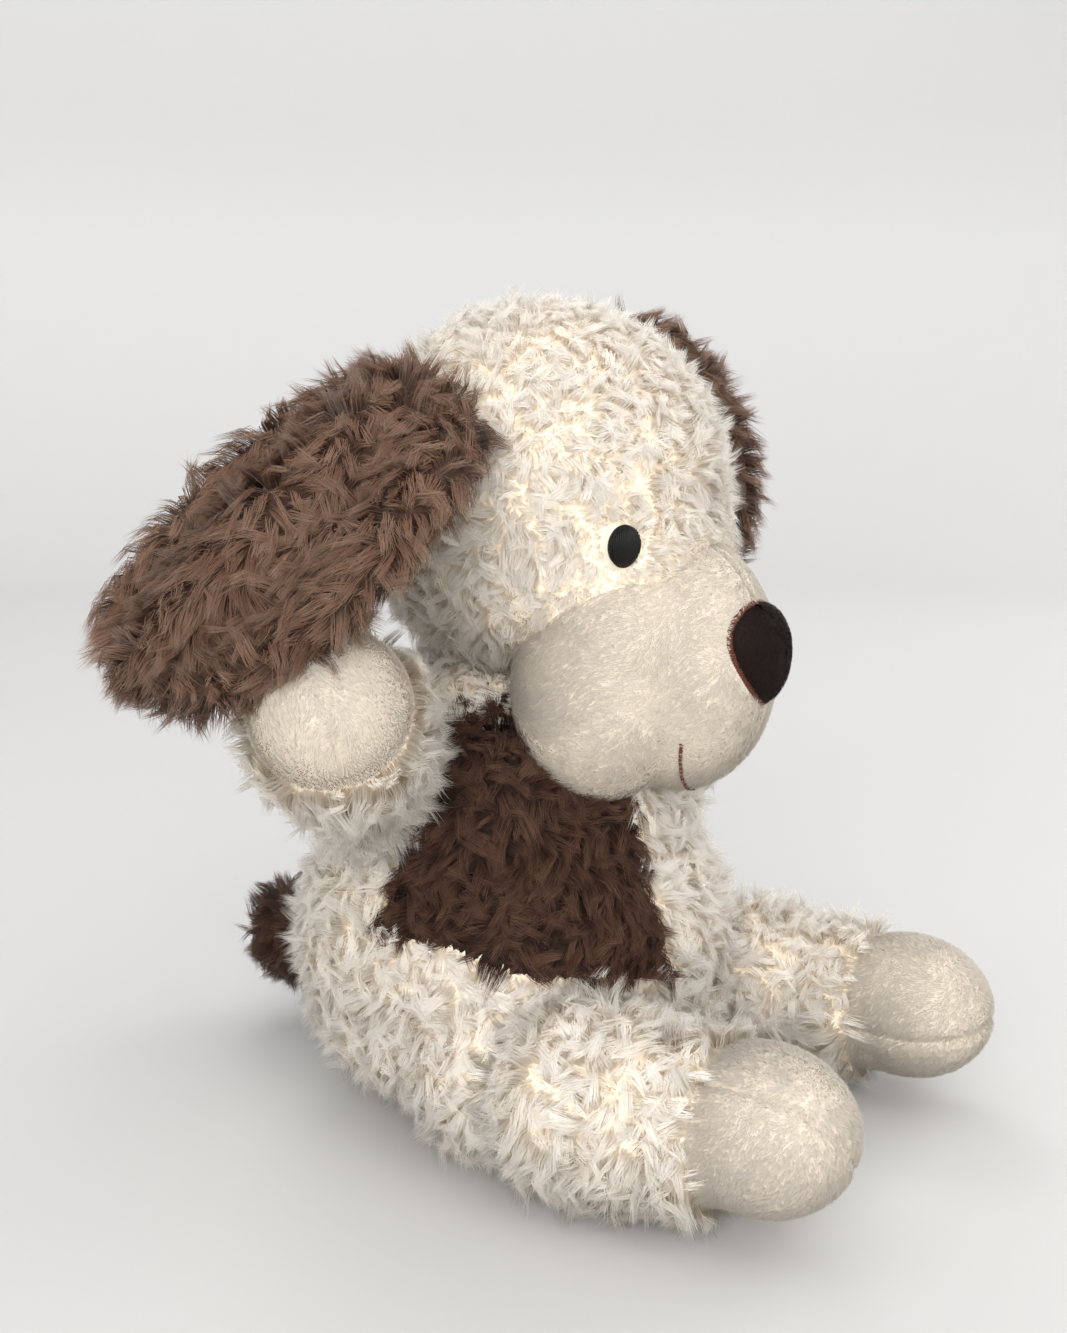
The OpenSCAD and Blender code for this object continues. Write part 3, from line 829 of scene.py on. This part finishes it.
finish_piece(satin_ring("nose_satin_edge", nose_ring_at, 120, -1.2, 0.9, 0.42, "brown_thread"), "head",
             ("nose_edging",))


MOUTH_LINE = [(0, -61, 98), (8, -62, 99), (15, -64, 103), (20, -66, 109), (22, -67, 115)]


def make_mouth():
    """A stitched smile: backstitches that run under the chin and up each cheek."""
    points, faces = [], []
    line = [(-x, y, z) for x, y, z in MOUTH_LINE[::-1]] + MOUTH_LINE[1:]
    inside = MUZZLE + [0, 0, 0]
    places = []
    for a, b in zip(line, line[1:]):
        for t in np.linspace(0, 1, 4, endpoint=False):
            aim = np.array(a) * (1 - t) + np.array(b) * t
            out = unit(aim - inside)
            places.append(surface_point(muzzle_tree, inside + out * 90, -out))
    for (hit, normal), (after, after_n) in zip(places, places[1:]):
        run = after - hit
        bar = bar_mesh([hit - run * 0.15 + normal * 0.1, hit + run * 0.5 + normal * 0.7,
                        after + run * 0.15 + after_n * 0.1], 0.62)
        base = len(points)
        points += bar[0]
        faces += [[base + i for i in face] for face in bar[1]]
    return mesh_from("mouth_stitches", points, faces, "brown_thread")


finish_piece(make_mouth(), "head", ("mouth_stitch",))


def make_eye(side):
    """A low dome of upright satin stitches."""
    centre, out = EYE_AT[side], EYE_DIR[side]
    across = unit(np.cross((0, 0, 1), out))
    up = np.cross(out, across)
    half_w, half_h, rows = 4.3, 5.6, 17
    points, faces = [], []
    for k in range(rows):
        x = -half_w + 2 * half_w * (k + 0.5) / rows
        reach = half_h * math.sqrt(max(1 - (x / half_w) ** 2, 0.02))
        path = []
        for t in np.linspace(-1, 1, 7):
            dome = 2.3 * math.sqrt(max(1 - (x / (half_w * 1.1)) ** 2 - (t * reach / (half_h * 1.1)) ** 2, 0))
            path.append(centre + across * x + up * reach * t + out * (dome + 1.6))
        bar = bar_mesh(path, 0.42, 6)
        base = len(points)
        points += bar[0]
        faces += [[base + i for i in face] for face in bar[1]]
    pad = oval_grid(32, 18, lambda u: centre + out * 1.2 + (u[:, :1] * across * half_w + u[:, 1:2] * up * half_h
                                                         + u[:, 2:] * out * 2.3))
    points_all = list(pad.points)
    faces_all = pad.tris.tolist() + [[len(points_all) + i for i in face] for face in faces]
    return mesh_from(f"eye_{side}_stitches", points_all + points, faces_all, "black_thread")


for side in ("right", "left"):
    finish_piece(make_eye(side), "head", (f"eye_{side}",))


# ---------------------------------------------------------------- ears


def through(points, t):
    """A cubic curve through four points, at shares t of its length."""
    t = np.asarray(t, float)[:, None]
    knots = (0, 1 / 3, 2 / 3, 1)
    total = 0
    for i, a in enumerate(knots):
        weight = 1.0
        for j, b in enumerate(knots):
            if j != i:
                weight = weight * (t - b) / (a - b)
        total = total + weight * np.asarray(points[i], float)
    return total


def ear_pad(edge, other_edge, thick, cup, rows=48, cols=30):
    """A soft flap between two edge curves, rounded at its tip; its first side faces away from the head."""
    s = np.linspace(0, 1, rows)
    t = np.linspace(-1, 1, cols)
    a_side, b_side = through(edge, s), through(other_edge, s)
    line, half = (a_side + b_side) / 2, (b_side - a_side) / 2
    out = unit(np.cross(np.gradient(line, axis=0), half))
    out *= np.sign((out * (line - HEAD)).sum(1)).mean()
    end = np.sqrt(np.maximum(1 - np.maximum((s - 0.70) / 0.30, 0) ** 2.6, 0.001))
    top, bottom = [], []
    for i in range(rows):
        for k in range(cols):
            rim = math.sqrt(max(1 - t[k] ** 2, 0))
            place = line[i] + half[i] * t[k] * end[i] + out[i] * cup(s[i], t[k])
            half_t = thick * (0.12 + 0.88 * rim) * (0.25 + 0.75 * end[i])
            top.append(place + out[i] * half_t)
            bottom.append(place - out[i] * half_t)
    index = np.arange(rows * cols).reshape(rows, cols)
    if np.dot(np.cross(line[-1] - line[0], half[0]), out[0]) < 0:
        index = index[:, ::-1]
    a, b, c, d = index[:-1, :-1], index[1:, :-1], index[1:, 1:], index[:-1, 1:]
    upper = np.concatenate([np.stack([a, b, c], -1).reshape(-1, 3), np.stack([a, c, d], -1).reshape(-1, 3)])
    lower = upper[:, ::-1] + rows * cols
    rim = list(index[:, 0]) + list(index[-1, 1:]) + list(index[::-1, -1][1:]) + list(index[0, ::-1][1:-1])
    walls = []
    for p, q in zip(rim, rim[1:] + rim[:1]):
        walls += [[p, q + rows * cols, q], [p, p + rows * cols, q + rows * cols]]
    return Skin(np.array(top + bottom), np.concatenate([upper, lower, np.array(walls)])), rows * cols


EAR_R_LOW = [(-54, -22, 203), (-84, -32, 180), (-103, -15, 151), (-115.5, 16, 128)]
EAR_R_HIGH = [(-50, 14, 216), (-80, 30, 196), (-103, 46, 168), (-113.5, 58, 145)]
EAR_TRIM_X, EAR_TRIM_RUN = -134, 20
EAR_L_FRONT = [(44, -26, 224), (59, -37, 210), (66, -43, 184), (63, -40, 152)]
EAR_L_BACK = [(50, 10, 225), (69, 10, 211), (76, 6, 185), (72, 0, 152)]


def two_lobes(s, t):
    """Two soft lobes along the raised ear, with a crease between them."""
    return 7.0 * math.sin(min(s * 1.6, 1) * math.pi / 2) * (0.45 + math.cos(t * 2 * math.pi - 0.6) * 0.6) - 5.0 * t * t


ear_right_skin, right_split = ear_pad(EAR_R_LOW, EAR_R_HIGH, 5.0, two_lobes)
ear_left_skin, left_split = ear_pad(EAR_L_FRONT, EAR_L_BACK, 4.5, lambda s, t: 4.0 - 6.0 * t * t)


def tip_trim(points):
    """Pile is clipped towards the raised ear's far tip."""
    return np.clip((points[:, 0] - EAR_TRIM_X) / EAR_TRIM_RUN, 0.3, 1.0)


def ear_pieces(side, skin, split, flow, trim=None):
    """Outer side and lining of an ear, each with its pile."""
    count = len(skin.points)
    is_top = np.arange(count) < split
    upper = is_top[skin.tris].sum(1) >= 2
    for piece, tris, node, seed in (
        ("outer", skin.tris[upper], f"ear_{side}_outer", 41),
        ("lining", skin.tris[~upper], f"ear_{side}_lining", 42),
    ):
        part = Skin(skin.points, tris)
        part.normals = skin.normals
        used, back_index = np.unique(tris, return_inverse=True)
        obj = mesh_from(f"ear_{side}_{piece}_skin", skin.points[used], back_index.reshape(-1, 3).tolist(), "brown_skin")
        finish_piece(obj, f"ear_{side}", (node,))
        pile = shaggy(f"ear_{side}_{piece}_pile", part, "brown_fibre", length=10.0, droop=0.7, lift=0.7,
                      swirl=0.6, seed=seed, flow=flow, trim=trim)
        finish_piece(pile, f"ear_{side}")


run_r = unit(np.subtract(EAR_R_LOW[3], EAR_R_HIGH[0]))
run_l = unit(np.subtract(EAR_L_FRONT[3], EAR_L_BACK[0]))
ear_pieces("right", ear_right_skin, right_split, lambda p: np.tile(run_r + [0, 0, -0.25], (len(p), 1)), tip_trim)
ear_pieces("left", ear_left_skin, left_split, lambda p: np.tile(run_l, (len(p), 1)))


# ---------------------------------------------------------------- arms, legs and tail


def limb(start, end, radii, shares, voxel=2.0, smooth=8):
    """A smooth limb along a line: radii at some shares of its length."""
    start, end = np.asarray(start, float), np.asarray(end, float)
    parts = [(start + (end - start) * s, (r, r, r)) for s, r in zip(shares, radii)]
    return blob(parts, voxel, smooth)


def seam_groove(skin, centre, normal, along, start, depth=0.9, wide=0.9):
    """Pulls the surface in along a plane through centre, beyond start along a direction."""
    off = (skin.points - centre) @ normal
    far = (skin.points - centre) @ along > start
    return skin.moved(-depth * np.exp(-(off / wide) ** 2) * far)


PAW_SEAM_OFF = {"right": -6.0, "left": 0.0}


def make_arm(side):
    start, paw = SHOULDER[side], PAW[side]
    run = unit(paw - start)
    reach = np.linalg.norm(paw - start)
    shares = [-0.12, 0.25, 0.55, 0.8, 1.02]
    skin = limb(start, start + run * reach, [14, 16, 19, 21, 20], shares)
    cuff = start + run * (reach - 3)
    plane = unit(np.cross(run, (0, 0, 1)))
    paw = paw + plane * PAW_SEAM_OFF[side]
    skin = seam_groove(skin, paw, plane, run, -6)

    def is_paw(points, _normals):
        return (points - cuff) @ run > 0

    def back_half(points, normals):
        return is_paw(points, normals) & ((points - paw) @ plane > 0)

    def palm_half(points, normals):
        return is_paw(points, normals) & ((points - paw) @ plane <= 0)

    def sleeve(points, normals):
        return ~is_paw(points, normals)

    body = f"arm_{side}"
    finish_piece(skin.object(f"arm_{side}_sleeve_skin", "cream_skin", sleeve), body,
                 (f"arm_{side}_sleeve",))
    finish_piece(skin.object(f"paw_{side}_back_skin", "velboa_skin", back_half), body,
                 (f"paw_{side}_back",))
    finish_piece(skin.object(f"paw_{side}_palm_skin", "velboa_skin", palm_half), body,
                 (f"paw_{side}_palm",))
    finish_piece(skin.moved(-1.5).object(f"arm_{side}_filling", "filling"), body,
                 (f"arm_{side}_stuffing",))
    finish_piece(shaggy(f"arm_{side}_pile", skin, "cream_fibre", sleeve, length=10.5,
                        seed=51 if side == "right" else 52,
                        flow=lambda p: np.tile(run * 0.7 + [0, 0, -0.5], (len(p), 1))), body)
    finish_piece(nap(f"paw_{side}_nap", skin, "velboa_fibre",
                     lambda p, n: is_paw(p, n) & (np.abs((p - paw) @ plane) > 0.3), length=3.0,
                     flow=lambda p: np.tile(run, (len(p), 1))), body)


def make_leg(side, roll):
    start, foot = HIP[side], FOOT[side]
    run = unit(np.array([foot[0] - start[0], foot[1] - start[1], 0]))
    reach = np.linalg.norm(foot - start)
    sole_mid = start + run * (reach - (4 if side == "right" else 1))
    outward = np.array([math.copysign(1, start[0]), 0, 0])
    parts = [
        (start + outward * 3 + [0, 0, -3], (26, 25, 23)),
        (start + outward * 2 + run * 14 + [0, 0, -3], (25, 23, 22)),
        (start + outward * 1 + run * (reach - 22) + [0, 0, -2], (21.5, 20, 20.5)),
    ]
    foot_parts = [(sole_mid + [0, 0, 1.0], (21, 24, 20.5)), (sole_mid - run * 8, (20, 20, 19.5))]
    skin = blob(parts + foot_parts, 2.0, 8)
    up = np.array([0, 0, 1.0])
    sideways = np.cross(run, up)
    angle = math.radians(roll)
    plane = up * math.cos(angle) + sideways * math.sin(angle)
    skin = seam_groove(skin, sole_mid, plane, run, -14, 1.5, 1.1)
    cuff = start + run * (reach - 14)

    def is_foot(points, _normals):
        return (points - cuff) @ run > 0

    def upper_half(points, normals):
        return is_foot(points, normals) & ((points - sole_mid) @ plane > 0)

    def sole_half(points, normals):
        return is_foot(points, normals) & ((points - sole_mid) @ plane <= 0)

    def sleeve(points, normals):
        return ~is_foot(points, normals)

    body = f"leg_{side}"
    finish_piece(skin.object(f"leg_{side}_sleeve_skin", "cream_skin", sleeve), body,
                 (f"leg_{side}_sleeve",))
    finish_piece(skin.object(f"foot_{side}_upper_skin", "velboa_skin", upper_half), body,
                 (f"foot_{side}_upper",))
    finish_piece(skin.object(f"foot_{side}_sole_skin", "velboa_skin", sole_half), body,
                 (f"foot_{side}_sole",))
    finish_piece(skin.moved(-1.5).object(f"leg_{side}_filling", "filling"), body,
                 (f"leg_{side}_stuffing",))
    finish_piece(shaggy(f"leg_{side}_pile", skin, "cream_fibre", sleeve, seed=61 if side == "right" else 62), body)
    finish_piece(nap(f"foot_{side}_nap", skin, "velboa_fibre",
                     lambda p, n: is_foot(p, n) & (np.abs((p - sole_mid) @ plane) > 0.5), length=2.4,
                     flow=lambda p: np.tile(-run * 0.5 + [0, 0, -0.6], (len(p), 1))), body)


make_arm("right")
make_arm("left")
make_leg("right", -50)
make_leg("left", 8)

tail_low, tail_high = node_box("tail_cover")
tail_end = np.array([0, tail_high[1] - 13, tail_low[2] + 14])
tail_skin = limb(TAIL - [0, 8, 0], tail_end + [0, 3, 4], [11, 14, 14], [0, 0.5, 0.9])
finish_piece(tail_skin.object("tail_skin", "dark_skin"), "tail", ("tail_cover",))
finish_piece(tail_skin.moved(-1.5).object("tail_filling", "filling"), "tail",
             ("tail_stuffing",))
finish_piece(shaggy("tail_pile", tail_skin, "dark_fibre", seed=71,
                    flow=lambda p: np.tile([0, 0.5, -0.5], (len(p), 1))), "tail")

frame["nodes"]["pellets"].data.materials.clear()
frame["nodes"]["pellets"].data.materials.append(MATS["pellets"])
